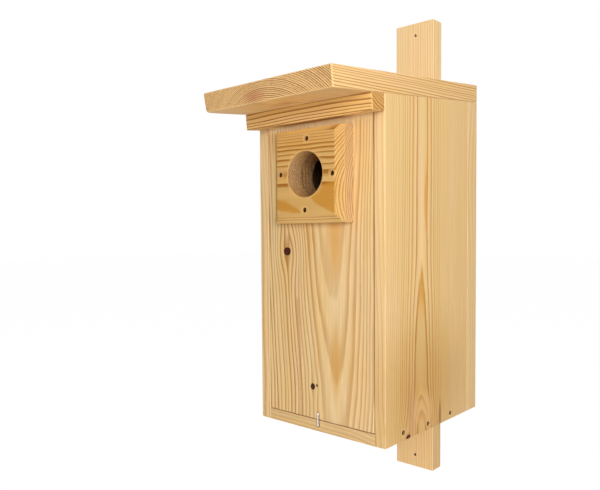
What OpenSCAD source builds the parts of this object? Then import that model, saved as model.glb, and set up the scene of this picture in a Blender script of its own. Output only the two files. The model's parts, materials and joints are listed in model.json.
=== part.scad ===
// Timber nest box on a hanging rail, with a front that tilts open.
// X runs across the box, Y from the front to the back, Z up. The origin lies on the
// rear face of the hanging rail, at the middle of its height, where a tree or wall holds it.

/* [Box] */
// Width over the two side walls
box_w = 180; // [150:1:216]
// Depth from the walls' front edges to the rear face of the back board
box_d = 204; // [170:1:245]
// Height of the side walls along their front edges
front_h = 365; // [304:1:438]
// Fall of the roof towards the front, in degrees
roof_slope = 5.6; // [3:0.1:9]

/* [Boards] */
// Thickness of the side walls
side_t = 13.6; // [11:0.1:16.4]
// Thickness of the back board
back_t = 24; // [20:0.5:29]
// Thickness of the floor board
floor_t = 12.6; // [10.5:0.1:15.2]
// Thickness of the roof board
roof_t = 21.5; // [18:0.1:26]
// How far the roof reaches out in front of the walls
roof_overhang = 84; // [70:1:101]

/* [Front panel] */
// Thickness of the front panel
panel_t = 21.5; // [18:0.1:25.8]
// Gap beside each long edge of the front panel
panel_gap = 0.8; // [0.6:0.1:1]
// Clearance left where the front panel's lower rear edge swings over the floor board
swing_gap = 0.2; // [0.15:0.05:0.5]
// How far the front panel stands back from the walls' front edges
panel_set_back = 0.3; // [0.2:0.1:0.4]
// How far the front panel reaches up behind the front rail
panel_lap = 11.5; // [9.5:0.5:13.5]

/* [Front rail] */
// Height of the front rail
rail_h = 18; // [16:0.5:21.5]
// Thickness of the front rail
rail_t = 21.5; // [18:0.1:25.8]

/* [Entrance] */
// Diameter of the entrance
entrance_d = 50; // [41:1:60]

/* [Guard plate] */
// Width of the plate round the entrance
plate_w = 100; // [84:1:120]
// Height of the plate round the entrance
plate_h = 102.5; // [86:0.5:123]
// Thickness of the plate round the entrance
plate_t = 21.5; // [18:0.1:25.8]
// Gap between the plate and the front rail above it
plate_gap = 9.4; // [7.9:0.1:11.2]
// Width of the plate's bevels, seen from the front
bevel_w = 8.5; // [7:0.1:10]
// Depth of the plate's bevels
bevel_d = 7; // [6:0.1:8.4]
// Width of the plate's top bevel, sawn at the same angle but narrower
top_bevel_w = 5.5; // [4.6:0.1:6.6]
// How far the entrance stands above the plate's middle
entrance_rise = 1.75; // [1.5:0.05:2.1]
// Distance of the screws at the left and right from the plate's bevels
side_screw_inset = 3.5; // [3:0.1:4.2]
// Distance of the screws at the top and bottom from the plate's bevels
end_screw_inset = 6; // [5:0.1:7.2]

/* [Hanging rail] */
// Length of the hanging rail
hanger_l = 602; // [560:1:722]
// Width of the hanging rail
hanger_w = 57; // [48:0.5:68]
// Thickness of the hanging rail
hanger_t = 21.5; // [18:0.1:25.8]
// How far the hanging rail reaches down below the box
hanger_drop = 99.5; // [83:0.5:119]
// Diameter of the nail holes in the hanging rail
nail_hole_d = 4; // [3.4:0.1:4.8]
// Distance of the nail holes from the ends of the hanging rail
nail_hole_inset = 16.5; // [14:0.5:19.5]
// How far the nail holes stand off the centre line of the hanging rail
nail_hole_offset = 1.2; // [0:0.1:1.4]

/* [Screws] */
// Diameter of the screws' shanks
shank_d = 3.2; // [2.7:0.1:3.8]
// Diameter of the countersunk heads
head_d = 5.6; // [5:0.1:6.4]
// Height of the countersunk heads
head_h = 2.2; // [1.9:0.1:2.6]
// Depth that the heads are driven in below the wood
head_sink = 1.6; // [1:0.1:1.9]
// Length of the screws through the side walls into the floor board
floor_screw_l = 35; // [30:1:42]
// Length of the screws through the roof and the back board into the side walls
wall_screw_l = 50; // [42:1:60]
// Wood left beyond the tips of the screws that join two boards face to face
tip_cover = 5; // [4:0.5:8]
// Distance of the first floor screw from the floor board's front edge
floor_screw_front = 34.6; // [29:0.2:41]
// Distance of the last floor screw from the floor board's rear edge
floor_screw_rear = 42; // [35:1:50]
// Distance of the outer screws in the walls' upper and rear edges from their ends
wall_screw_end = 40; // [34:1:48]
// Distance of the hanging rail's screws from the top and the bottom of the walls
hanger_screw_end = 62; // [52:1:74]

/* [Wire catch] */
// Diameter of the catch's wire
wire_d = 1.8; // [1.5:0.1:2.1]
// Length of the legs that reach into the wood
leg_l = 10; // [8.4:0.1:12]
// Clearance round the lower leg, which slides out of the floor board
leg_clearance = 0.4; // [0.3:0.05:0.5]
// How far the catch reaches down from the floor board's upper face
catch_down = 5.6; // [4.8:0.1:6.2]
// How far the catch reaches up from the floor board's upper face
catch_up = 8.4; // [7:0.1:10]
// Gap between the catch's upright and the floor board's front edge
catch_gap = 0.5; // [0.3:0.1:0.8]

/* [Hidden] */
$fn = 64;

// Levels. The hanging rail's middle is at Z = 0.
base_z = hanger_drop - hanger_l / 2;
front_y = -hanger_t - box_d;
back_y = -hanger_t - back_t;
side_x = box_w / 2 - side_t;
front_top_z = base_z + front_h;

// The rail lies square to the roof, so its lower rear edge is what the panel hinges on.
hinge_z = front_top_z - rail_h / cos(roof_slope);
panel_w = 2 * (side_x - panel_gap);
panel_y = front_y + panel_set_back;
plate_y = panel_y - plate_t;
plate_mid_z = hinge_z - plate_gap - plate_h / 2;
hole_z = plate_mid_z + entrance_rise;

// The panel's lower rear edge swings round the hinge, just above the floor board.
swing_r = hinge_z - base_z - floor_t - swing_gap;
panel_z = hinge_z - sqrt(swing_r ^ 2 - (panel_set_back + panel_t) ^ 2);

past = 1;              // how far a cutter runs past the face that it cuts
screw_clearance = 0.05;
plate_screw_l = plate_t + panel_t - head_sink - tip_cover;
rail_screw_l = roof_t + rail_h - head_sink - tip_cover;
hanger_screw_l = hanger_t + back_t - head_sink - tip_cover;

// The plate's screws stand near the bevels, each a little off its place as driven by hand.
screw_x = plate_w / 2 - bevel_w - side_screw_inset;
screw_high = plate_h / 2 - entrance_rise - top_bevel_w - end_screw_inset;
screw_low = plate_h / 2 + entrance_rise - bevel_w - end_screw_inset;
plate_screws = [
    ["top", 2.8, screw_high],
    ["left", 1.9 - screw_x, 1.2],
    ["right", screw_x, -1.4],
    ["bottom", -0.7, -screw_low - 0.4]
];

// The floor's screws, as depths behind the front edges and heights above its mid-line.
wall_d = box_d - back_t;
floor_screw_step = (wall_d - floor_screw_front - floor_screw_rear) / 2;
floor_screw_rise = [2.7, 0.3, 0.9];
floor_screws = [
    for (i = [0:2]) [floor_screw_front + i * floor_screw_step, floor_t / 2 + floor_screw_rise[i]]
];

// Heights of the back board's screws above the base.
back_screws = [for (i = [0:2]) wall_screw_end + i * (front_h - 2 * wall_screw_end) / 2];

// Depths of the roof's wall screws behind the front edges, and the rail screws' places.
roof_screws = [wall_screw_end, wall_d - wall_screw_end];
rail_screw_x = box_w / 4;

// Heights of the screws that hold the hanging rail, above the base.
hanger_screws = [hanger_screw_end, front_h - hanger_screw_end];

// Heights of the catch's legs above the base, and where its upright stands.
catch_low = floor_t - catch_down;
catch_high = floor_t + catch_up;
catch_y = front_y - wire_d / 2 - catch_gap;
bend_r = wire_d;

SIDES = ["left", "right"];

function roof_z(y) = front_top_z + (y - front_y) * tan(roof_slope);
function sign_of(side) = side == "left" ? -1 : 1;

// A countersunk screw. Its head's flat face is at the origin and it points down -Z.
module screw(length, grow = 0) {
    translate([0, 0, -length])
        cylinder(d = shank_d + 2 * grow, h = length - head_h);
    translate([0, 0, -head_h])
        cylinder(d1 = shank_d + 2 * grow, d2 = head_d + 2 * grow, h = head_h);
}

// What is cut out of the wood for a screw, up to the surface that its head is sunk below.
module screw_hole(length) {
    screw(length, screw_clearance);
    cylinder(d = head_d + 2 * screw_clearance, h = head_sink + past);
}

// Each of these puts a screw or its hole in place, with its head sunk below the wood.
module at_plate_screw(s) {
    translate([s[1], plate_y + head_sink, hole_z + s[2]])
        rotate([90, 0, 0])
            children();
}

module at_floor_screw(side, i) {
    place = floor_screws[i];
    translate([sign_of(side) * (box_w / 2 - head_sink), front_y + place[0], base_z + place[1]])
        rotate([0, sign_of(side) * 90, 0])
            children();
}

module at_back_screw(side, i) {
    translate([sign_of(side) * (box_w / 2 - side_t / 2), -hanger_t - head_sink, base_z + back_screws[i]])
        rotate([-90, 0, 0])
            children();
}

module at_hanger_screw(i) {
    translate([0, -head_sink, base_z + hanger_screws[i]])
        rotate([-90, 0, 0])
            children();
}

// The roof's own frame: the origin is where its underside meets the walls' front edges.
module on_roof() {
    translate([0, front_y, front_top_z])
        rotate([roof_slope, 0, 0])
            children();
}

module at_roof_screw(side, i) {
    on_roof()
        translate([sign_of(side) * (box_w / 2 - side_t / 2), roof_screws[i], roof_t - head_sink])
            children();
}

module at_rail_screw(side) {
    on_roof()
        translate([sign_of(side) * rail_screw_x, -rail_t / 2, roof_t - head_sink])
            children();
}

// A board in the YZ plane, spread equally to both sides of X = x.
module side_profile(x, thickness, points) {
    translate([x - thickness / 2, 0, 0])
        rotate([90, 0, 90])
            linear_extrude(thickness)
                polygon(points);
}

module side_wall(side) {
    wall = [
        [front_y, base_z],
        [back_y, base_z],
        [back_y, roof_z(back_y)],
        [front_y, front_top_z]
    ];
    difference() {
        side_profile(sign_of(side) * (box_w / 2 - side_t / 2), side_t, wall);
        for (i = [0:len(floor_screws) - 1])
            at_floor_screw(side, i)
                screw_hole(floor_screw_l);
        for (i = [0:len(back_screws) - 1])
            at_back_screw(side, i)
                screw_hole(wall_screw_l);
        for (i = [0:len(roof_screws) - 1])
            at_roof_screw(side, i)
                screw_hole(wall_screw_l);
    }
}

module left_side_wall() {
    color("burlywood")
        side_wall("left");
}

module right_side_wall() {
    color("burlywood")
        side_wall("right");
}

module back_board() {
    back = [
        [back_y, base_z],
        [-hanger_t, base_z],
        [-hanger_t, roof_z(-hanger_t)],
        [back_y, roof_z(back_y)]
    ];
    color("wheat")
        difference() {
            side_profile(0, box_w, back);
            for (side = SIDES, i = [0:len(back_screws) - 1])
                at_back_screw(side, i)
                    screw_hole(wall_screw_l);
            for (i = [0:len(hanger_screws) - 1])
                at_hanger_screw(i)
                    screw_hole(hanger_screw_l);
        }
}

module floor_board() {
    color("tan")
        difference() {
            translate([-side_x, front_y, base_z])
                cube([2 * side_x, back_y - front_y, floor_t]);
            for (side = SIDES, i = [0:len(floor_screws) - 1])
                at_floor_screw(side, i)
                    screw_hole(floor_screw_l);
            translate([0, front_y - past, base_z + catch_low])
                rotate([-90, 0, 0])
                    cylinder(d = wire_d + 2 * leg_clearance, h = leg_l + 2 * past);
        }
}

module front_panel() {
    color("navajowhite")
        difference() {
            translate([-panel_w / 2, panel_y, panel_z])
                cube([panel_w, panel_t, hinge_z + panel_lap - panel_z]);
            entrance_bore();
            for (s = plate_screws)
                at_plate_screw(s)
                    screw_hole(plate_screw_l);
            translate([0, panel_y - past, base_z + catch_high])
                rotate([-90, 0, 0])
                    cylinder(d = wire_d + 2 * screw_clearance, h = leg_l + past);
        }
}

module entrance_bore() {
    translate([0, plate_y - past, hole_z])
        rotate([-90, 0, 0])
            cylinder(d = entrance_d, h = plate_t + panel_t + 2 * past, $fn = 96);
}

// Outline of a slab, back from its front, whose two front corners are bevelled by these widths.
function bevelled(width, first_w, last_w) = [
    [-width / 2, plate_t],
    [-width / 2, first_w * bevel_d / bevel_w],
    [-width / 2 + first_w, 0],
    [width / 2 - last_w, 0],
    [width / 2, last_w * bevel_d / bevel_w],
    [width / 2, plate_t]
];

module entrance_plate() {
    color("sandybrown")
        difference() {
            translate([0, plate_y, plate_mid_z])
                intersection() {
                    translate([0, 0, -plate_h / 2])
                        linear_extrude(plate_h)
                            polygon(bevelled(plate_w, bevel_w, bevel_w));
                    rotate([0, 90, 0])
                        translate([0, 0, -plate_w / 2])
                            linear_extrude(plate_w)
                                polygon(bevelled(plate_h, top_bevel_w, bevel_w));
                }
            entrance_bore();
            for (s = plate_screws)
                at_plate_screw(s)
                    screw_hole(plate_screw_l);
        }
}

module front_rail() {
    color("peru")
        difference() {
            on_roof()
                translate([-box_w / 2, -rail_t - rail_h * tan(roof_slope), -rail_h])
                    cube([box_w, rail_t, rail_h]);
            for (side = SIDES)
                at_rail_screw(side)
                    screw_hole(rail_screw_l);
        }
}

// The front end is sawn square to the board, and the rear end is flush with the back board.
module roof_board() {
    rear_run = box_d / cos(roof_slope);
    roof = [
        [-roof_overhang, 0],
        [rear_run, 0],
        [rear_run + roof_t * tan(roof_slope), roof_t],
        [-roof_overhang, roof_t]
    ];
    color("burlywood")
        difference() {
            on_roof()
                side_profile(0, box_w, roof);
            for (side = SIDES, i = [0:len(roof_screws) - 1])
                at_roof_screw(side, i)
                    screw_hole(wall_screw_l);
            for (side = SIDES)
                at_rail_screw(side)
                    screw_hole(rail_screw_l);
        }
}

module hanging_rail() {
    color("wheat")
        difference() {
            translate([-hanger_w / 2, -hanger_t, -hanger_l / 2])
                cube([hanger_w, hanger_t, hanger_l]);
            for (end = [-1, 1])
                translate([nail_hole_offset, past, end * (hanger_l / 2 - nail_hole_inset)])
                    rotate([90, 0, 0])
                        cylinder(d = nail_hole_d, h = hanger_t + 2 * past);
            for (i = [0:len(hanger_screws) - 1])
                at_hanger_screw(i)
                    screw_hole(hanger_screw_l);
        }
}

// One bend of the catch, from a leg along +Y into the upright that leaves along +Z.
module catch_end(height, up) {
    translate([0, catch_y + bend_r, height])
        rotate([-90, 0, 0])
            cylinder(d = wire_d, h = leg_l - bend_r + front_y - catch_y);
    translate([0, catch_y + bend_r, height + up * bend_r])
        rotate([0, 90, 0])
            rotate([0, 0, up > 0 ? -90 : 180])
                rotate_extrude(angle = 90)
                    translate([bend_r, 0])
                        circle(d = wire_d);
}

module wire_catch() {
    color("silver") {
        translate([0, 0, base_z]) {
            catch_end(catch_low, 1);
            catch_end(catch_high, -1);
            translate([0, catch_y, catch_low + bend_r])
                cylinder(d = wire_d, h = catch_high - catch_low - 2 * bend_r);
        }
    }
}

module steel_screw(length) {
    color("dimgray")
        screw(length);
}

left_side_wall();
right_side_wall();
back_board();
floor_board();
front_panel();
entrance_plate();
front_rail();
roof_board();
hanging_rail();
wire_catch();
for (s = plate_screws)
    at_plate_screw(s) steel_screw(plate_screw_l);
for (side = SIDES, i = [0:len(floor_screws) - 1])
    at_floor_screw(side, i) steel_screw(floor_screw_l);
for (side = SIDES, i = [0:len(back_screws) - 1])
    at_back_screw(side, i) steel_screw(wall_screw_l);
for (side = SIDES, i = [0:len(roof_screws) - 1])
    at_roof_screw(side, i) steel_screw(wall_screw_l);
for (side = SIDES)
    at_rail_screw(side) steel_screw(rail_screw_l);
for (i = [0:len(hanger_screws) - 1])
    at_hanger_screw(i) steel_screw(hanger_screw_l);
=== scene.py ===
import json
import math

import bpy
import numpy as np
from mathutils import Matrix, Vector


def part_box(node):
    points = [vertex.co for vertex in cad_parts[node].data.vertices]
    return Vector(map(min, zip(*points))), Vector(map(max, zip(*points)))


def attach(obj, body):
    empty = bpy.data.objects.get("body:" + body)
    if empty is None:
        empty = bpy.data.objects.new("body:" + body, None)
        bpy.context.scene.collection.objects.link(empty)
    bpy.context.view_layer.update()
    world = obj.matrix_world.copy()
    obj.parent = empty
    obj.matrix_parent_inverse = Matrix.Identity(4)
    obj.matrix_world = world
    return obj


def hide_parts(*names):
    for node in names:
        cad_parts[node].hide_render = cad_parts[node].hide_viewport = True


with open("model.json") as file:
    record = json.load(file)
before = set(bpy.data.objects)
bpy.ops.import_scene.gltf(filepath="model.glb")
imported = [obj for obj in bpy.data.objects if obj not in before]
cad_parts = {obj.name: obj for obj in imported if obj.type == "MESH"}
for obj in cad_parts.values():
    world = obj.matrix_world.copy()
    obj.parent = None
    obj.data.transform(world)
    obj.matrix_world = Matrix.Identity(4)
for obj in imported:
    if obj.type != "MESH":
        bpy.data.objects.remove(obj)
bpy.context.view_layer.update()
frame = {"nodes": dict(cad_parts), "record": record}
print("frame loaded:", len(frame["nodes"]), "nodes")

mm = 0.001  # what follows is worked out in millimetres and written in metres


def addObject(name, data):
    thing = bpy.data.objects.new(name, data)
    bpy.context.scene.collection.objects.link(thing)
    return thing


# The camera looks from the front right, a little below the middle of the box.
cameraSet = dict(
    place=(0.44544, -0.75277, 0.02587),
    yaw=41.818,
    pitch=-2.532,
    roll=-0.445,
    lens=37.146,
    sensor=36,
    shift=(-0.00013, 0.02082),
    clip=(0.02, 60),
)


def makeCamera(p):
    yaw, pitch, roll = (math.radians(p[k]) for k in ("yaw", "pitch", "roll"))
    look = Vector((-math.sin(yaw) * math.cos(pitch), math.cos(yaw) * math.cos(pitch), math.sin(pitch)))
    level = Vector((math.cos(yaw), math.sin(yaw), 0))
    upright = level.cross(look)
    right = level * math.cos(roll) + upright * math.sin(roll)
    up = upright * math.cos(roll) - level * math.sin(roll)
    data = bpy.data.cameras.new("camera")
    data.lens, data.sensor_width = p["lens"], p["sensor"]
    data.shift_x, data.shift_y = p["shift"]
    data.clip_start, data.clip_end = p["clip"]
    camera = addObject("camera", data)
    camera.matrix_world = Matrix.Translation(p["place"]) @ Matrix((right, up, -look)).transposed().to_4x4()
    bpy.context.scene.camera = camera


makeCamera(cameraSet)


# The box's own lines come from the frame.
def boxMm(node):
    lo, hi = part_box(node)
    return np.array(lo) / mm, np.array(hi) / mm


wallLo, wallHi = boxMm("right_side_wall")
backLo, backHi = boxMm("back_board")
floorLo, floorHi = boxMm("floor_board")
panelLo, panelHi = boxMm("front_panel")
plateLo, plateHi = boxMm("entrance_plate")
hangerLo, hangerHi = boxMm("hanging_rail")
roofLo = boxMm("roof_board")[0]

slope = math.radians(5.6)  # the roof's fall towards the front
stock = 21.5  # thickness of the plate, the panel, the roof and the front rail
railHigh = 18.0  # height of the front rail, square to the roof
halfWide = 90.0  # half the box's width
frontY, backY, baseZ = wallLo[1], wallHi[1], wallLo[2]
frontTopZ = wallHi[2] - (backY - frontY) * math.tan(slope)
overhang = (frontY - roofLo[1] - stock * math.sin(slope)) / math.cos(slope)
entrance = next(m for m in frame["record"]["mounts"] if m["name"] == "entrance")
holeZ = entrance["pos_m"][2] / mm
boreR = entrance["dims"]["r_mm"]

# Places that a hole and its screw, nail or wire share.
cornerX = 83.2  # screws into the walls from behind and from above
backScrewZ = (-161.5, -19.0, 123.5)
roofScrewAlong = (40.0, 140.0)
railScrewX = 45.0
hangerScrewZ = (-139.5, 101.5)
nailX, nailZ = 1.2, 284.5
catchLow, catchHigh = -194.5, -180.5


def roofZ(y):
    return frontTopZ + (y - frontY) * math.tan(slope)


# The roof's frame: across, along the slope from the walls' front edges, and square to the boards.
def fromRoof(p):
    along, above = p[:, 1], p[:, 2]
    y = frontY + along * math.cos(slope) - above * math.sin(slope)
    z = frontTopZ + along * math.sin(slope) + above * math.cos(slope)
    return np.stack([p[:, 0], y, z], 1)


# Places along one side of a board. Each arris is split at even angles, a line close to it keeps the flat
# face flat, wanted places are kept, and what lies between is split evenly.
def placeTicks(lo, hi, rounding, step, wanted):
    arris = rounding * (1 - np.tan(np.radians([45, 30, 15, 0])))
    near = np.append(arris, rounding * 1.7)
    fixed = np.concatenate([lo + near, hi - near, np.ravel(wanted)])
    fixed = np.unique(np.round(fixed, 4))
    fixed = np.clip(fixed[(fixed > lo - 0.001) & (fixed < hi + 0.001)], lo, hi)
    gaps = np.diff(fixed)
    parts = np.maximum(1, np.ceil(gaps / step - 1e-6)).astype(int)
    within = np.arange(parts.sum()) - np.repeat(np.cumsum(parts) - parts, parts)
    return np.append(np.repeat(fixed[:-1], parts) + within * np.repeat(gaps / parts, parts), fixed[-1])


# Lattice steps once round a window, counterclockwise.
def windowRing(iu, iv):
    a, b = np.arange(*iu), np.arange(*iv)
    ringU = np.concatenate([a, np.full(len(b), iu[1]), a[::-1] + 1, np.full(len(b), iu[0])])
    ringV = np.concatenate([np.full(len(a), iv[0]), b, np.full(len(a), iv[1]), b[::-1] + 1])
    return ringU, ringV


# The faces between the rows of a grid that closes round its columns, and a fan from a row to a pole.
def ringQuads(grid):
    turned = np.roll(grid, -1, 1)
    return np.stack([grid[:-1], turned[:-1], turned[1:], grid[1:]], -1).reshape(-1, 4)


def ringFan(row, pole):
    return np.stack([row, np.roll(row, -1), np.full(len(row), pole)], 1)


# The squares of the lattice on a board's six sides, less a square window for each hole, and the ring of
# lattice points round each window.
def sideSquares(ticks, holes):
    stride = np.cumprod([1, len(ticks[0]), len(ticks[1])])
    quads, windows = [], []
    for axis in range(3):
        u, v = (axis + 1) % 3, (axis + 2) % 3
        iu, iv = np.meshgrid(np.arange(len(ticks[u]) - 1), np.arange(len(ticks[v]) - 1), indexing="ij")
        for side in (0, 1):
            level = side * (len(ticks[axis]) - 1) * stride[axis]
            kept = np.ones(iu.shape, bool)
            for h in holes:
                if h["axis"] != axis or (h["side"] != side and not h["through"]):
                    continue
                ends = []
                for k in (u, v):
                    sought = (h["at"][k] - h["half"], h["at"][k] + h["half"])
                    ends.append([int(np.argmin(abs(ticks[k] - s))) for s in sought])
                kept[slice(*ends[0]), slice(*ends[1])] = False
                ringU, ringV = windowRing(*ends)
                ids = level + ringU * stride[u] + ringV * stride[v]
                windows.append((h, side, ids, np.stack([ticks[u][ringU], ticks[v][ringV]], 1)))
            base = level + iu[kept] * stride[u] + iv[kept] * stride[v]
            quad = np.stack([base, base + stride[u], base + stride[u] + stride[v], base + stride[v]], 1)
            quads.append(quad if side else quad[:, ::-1])
    return np.concatenate(quads), windows


# One hole's skin, a surface (row, angle): from the window's rim over the flat to the hole's edge, down
# its profile and, where it goes through, out to the rim behind. It gives places, normals, and by row the
# crushed rim and how freshly bored the wood is.
def holeRows(h, side, border, lo, hi):
    axis, u, v = h["axis"], (h["axis"] + 1) % 3, (h["axis"] + 2) % 3
    centre = np.array([h["at"][u], h["at"][v]])
    angle = np.arctan2(*(border - centre).T[::-1])
    turn = np.stack([np.cos(angle), np.sin(angle)], 1)
    profile = np.array(h["profile"], float)
    radius = profile[:, :1] + (h["ripple"](angle, profile[:, 1:]) if h["ripple"] else 0 * angle)
    ease = (np.arange(1, h["rows"]) / h["rows"])[:, None, None] ** 0.8
    flat = border + (centre + radius[0][:, None] * turn - border) * ease
    fall = -np.gradient(profile, axis=0)[:, ::-1]
    rows = [flat, centre + radius[:, :, None] * turn]
    depths = [np.zeros(len(flat)), profile[:, 1]]
    lean = [np.tile([0.0, 1.0], (len(flat), 1)), fall / (np.hypot(*fall.T)[:, None] + 1e-9)]
    if h["through"]:
        rows.append(flat[::-1])
        depths.append(np.full(len(flat), hi[axis] - lo[axis]))
        lean.append(np.tile([0.0, -1.0], (len(flat), 1)))
    rows, depths, lean = np.concatenate(rows), np.concatenate(depths), np.concatenate(lean)
    rim = np.zeros(len(rows))
    rim[len(flat) - 1 : len(flat) + 3] = (0.45, 1, 1, 0.5)  # the edge and its neighbours
    bored = np.clip((depths + 1e-6) / h["fresh"], 0, 1) * (np.arange(len(rows)) < len(flat) + len(profile))
    sign = 1 if side else -1
    local, out = np.zeros(rows.shape[:2] + (3,)), np.zeros(rows.shape[:2] + (3,))
    local[..., u], local[..., v] = rows[..., 0], rows[..., 1]
    local[..., axis] = (hi if side else lo)[axis] - sign * depths[:, None]
    out[..., u], out[..., v] = lean[:, :1] * turn[:, 0], lean[:, :1] * turn[:, 1]
    out[..., axis] = sign * lean[:, 1:]
    return local, out, rim, bored


blindTip = 0.2  # a blind hole's end drops this far to its middle


# A board's skin. A point is a place (u, v) on one of the box's six sides; where it lies within the
# rounding of an edge it is pulled onto the arris, at the rounding's distance from the box that is smaller
# by it. Each hole's ring surface is sewn to its window.
def boardSkin(p):
    lo, hi = np.array(p["lo"], float), np.array(p["hi"], float)
    holes = p.get("holes", ())
    asked = [list(w) for w in p.get("wanted", ((), (), ()))]
    for h in holes:
        for k in ((h["axis"] + 1) % 3, (h["axis"] + 2) % 3):
            asked[k] += list(np.linspace(h["at"][k] - h["half"], h["at"][k] + h["half"], h["parts"] + 1))
    ticks = [placeTicks(lo[k], hi[k], p["rounding"], p["step"][k], asked[k]) for k in range(3)]
    quads, windows = sideSquares(ticks, holes)
    ids = np.unique(quads)
    steps = np.unravel_index(ids, [len(t) for t in ticks], order="F")
    lattice = np.stack([t[s] for t, s in zip(ticks, steps)], 1)
    reach = p["reach"](lattice)[:, None] if "reach" in p else p["rounding"]
    inner = np.clip(lattice, lo + reach, hi - reach)
    away = lattice - inner
    normal = away / np.linalg.norm(away, axis=1, keepdims=True)
    points, normals = [inner + normal * reach], [normal]
    rims, boreds = [np.zeros(len(lattice))], [np.zeros(len(lattice))]
    faces, fans = [np.searchsorted(ids, quads)], [np.zeros((0, 3), int)]
    made = len(lattice)
    for h, side, ring, border in windows:
        if side != h["side"]:
            continue
        local, out, rim, bored = holeRows(h, side, border, lo, hi)
        rows, columns = local.shape[:2]
        grid = [np.searchsorted(ids, ring)[None], made + np.arange(rows * columns).reshape(rows, columns)]
        if h["through"]:
            rear = next(w for w in windows if w[0] is h and w[1] != side)
            grid.append(np.searchsorted(ids, rear[2])[None])
        grid = np.vstack(grid)
        way = 1 if side else -1
        faces.append(ringQuads(grid)[:, ::way])
        points.append(local.reshape(-1, 3))
        normals.append(out.reshape(-1, 3))
        rims.append(np.repeat(rim, columns))
        boreds.append(np.repeat(bored, columns))
        made += rows * columns
        if not h["through"]:  # the blind end closes in a fan
            up = way * np.eye(3)[h["axis"]]
            points.append((local[-1].mean(0) - up * blindTip)[None])
            normals.append(up[None])
            rims.append([0.0])
            boreds.append([1.0])
            fans.append(ringFan(grid[-1], made)[:, ::way])
            made += 1
    parts = dict(local=points, normal=normals, rim=rims, bored=boreds, quads=faces, fans=fans)
    return {key: np.concatenate(value) for key, value in parts.items()}


# A grid that closes round its columns, with a fan at each end whose pole is the row's middle.
def tubeFaces(rows, columns, first, last):
    grid = np.arange(rows * columns).reshape(rows, columns)
    return ringQuads(grid), np.concatenate([ringFan(grid[0], first)[:, [1, 0, 2]], ringFan(grid[-1], last)])


def addPiece(name, points, quads, fans, body, material, replaced, values=None):
    mesh = bpy.data.meshes.new(name)
    mesh.from_pydata((points * mm).tolist(), [], quads.tolist() + fans.tolist())
    mesh.polygons.foreach_set("use_smooth", np.ones(len(mesh.polygons), bool))
    for key, value in (values or {}).items():
        mesh.attributes.new(key, "FLOAT", "POINT").data.foreach_set("value", np.asarray(value, np.float32))
    mesh.materials.append(material)
    mesh.update()
    piece = addObject(name, mesh)
    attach(piece, body)
    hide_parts(*replaced)


# A smooth curve through (places, values), by cubic pieces with even slopes.
def smoothCurve(places, values, at):
    places, values = np.array(places, float), np.array(values, float)
    rise = np.gradient(values, places)
    at = np.clip(at, places[0], places[-1])
    k = np.clip(np.searchsorted(places, at, side="right") - 1, 0, len(places) - 2)
    wide = places[k + 1] - places[k]
    t = (at - places[k]) / wide
    return (
        values[k] * (1 + 2 * t) * (1 - t) ** 2
        + values[k + 1] * t * t * (3 - 2 * t)
        + wide * (rise[k] * t * (1 - t) ** 2 - rise[k + 1] * t * t * (1 - t))
    )


# Seeded slow waves: a few sines of mixed direction, as long as told across and along the grain.
def slowWaves(across, depth, along, seed, wide, long, parts=7):
    rng = np.random.default_rng(seed)
    total = 0
    for _ in range(parts):
        ka, kd, kl = rng.normal(0, 1, 3) * np.array([1 / wide, 1 / wide, 1 / long]) * 2 * math.pi
        phase = ka * across + kd * depth + kl * along + rng.uniform(0, 6.283)
        total = total + np.sin(phase) * rng.uniform(0.5, 1)
    return total / parts**0.5


# Outer radii of the tree's rings: the known ones, and seeded ones of the usual width inside and outside.
def ringEdges(known, width, seed, spread=0.22, inner=120, outer=160):
    rng = np.random.default_rng(seed)
    inward = known[0] - np.cumsum(width[0] * rng.uniform(1 - spread, 1 + spread, inner))
    outward = known[-1] + np.cumsum(width[1] * rng.uniform(1 - spread, 1 + spread, outer))
    return np.concatenate([inward[inward > 0][::-1], known, outward])


# How a board was cut from the tree, unless the board says otherwise. Its axes are across, depth and along;
# face is where its depth starts, drift and rise are curves along, and strong is one across.
grainUsual = dict(
    inward=1,  # the way its depth runs along its axis
    towards=-1,  # the pith lies behind the face with -1, before it with 1
    wave=0.8,
    waveWide=45,
    waveLong=190,
    sides=(1, 1),  # rings are this much closer or wider left and right of the pith
    count=0,
    knots=(),
    patches=(),
    stainDeep=9,
    strong=((-1, 1), (1, 1)),
    crushed=1,  # how much a hole's rim shows
    freshMouth=0,  # how much paler a bore is near its mouth, and how far in
    freshDeep=12,
)


# Ring number at a point: its distance from the pith, which runs along the board at a drifting place
# across and at a depth whose square falls by the rise, read against the rings' radii. A knot spreads the
# rings round itself.
def ringNumber(across, depth, along, g, nearest=4):
    waves = slowWaves(across, depth, along, g["seed"], g["waveWide"], g["waveLong"])
    across = across + g["wave"] * waves
    for knot in g["knots"]:
        u, v = across - knot["at"][0], along - knot["at"][1]
        pull = knot["pull"] * np.exp(-((u / knot["wide"]) ** 2) - (v / knot["long"]) ** 2)
        across = knot["at"][0] + u * (1 - pull)
    offset = across - smoothCurve(*g["drift"], along)
    offset = offset * np.where(offset < 0, *g["sides"])
    near = np.sqrt(np.maximum(g["pith"] ** 2 - smoothCurve(*g["rise"], along), nearest**2))
    radius = np.hypot(offset, near + g["towards"] * depth)
    edges = ringEdges(np.array(g["known"], float), g["width"], g["seed"] + 1)
    return np.interp(radius, edges, np.arange(len(edges))) + g["count"]


# A resin patch, its corners given along and across the grain.
def patch(corners, soft, strength, ragged=0.6):
    return dict(corners=corners, soft=soft, strength=strength, ragged=ragged)


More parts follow.
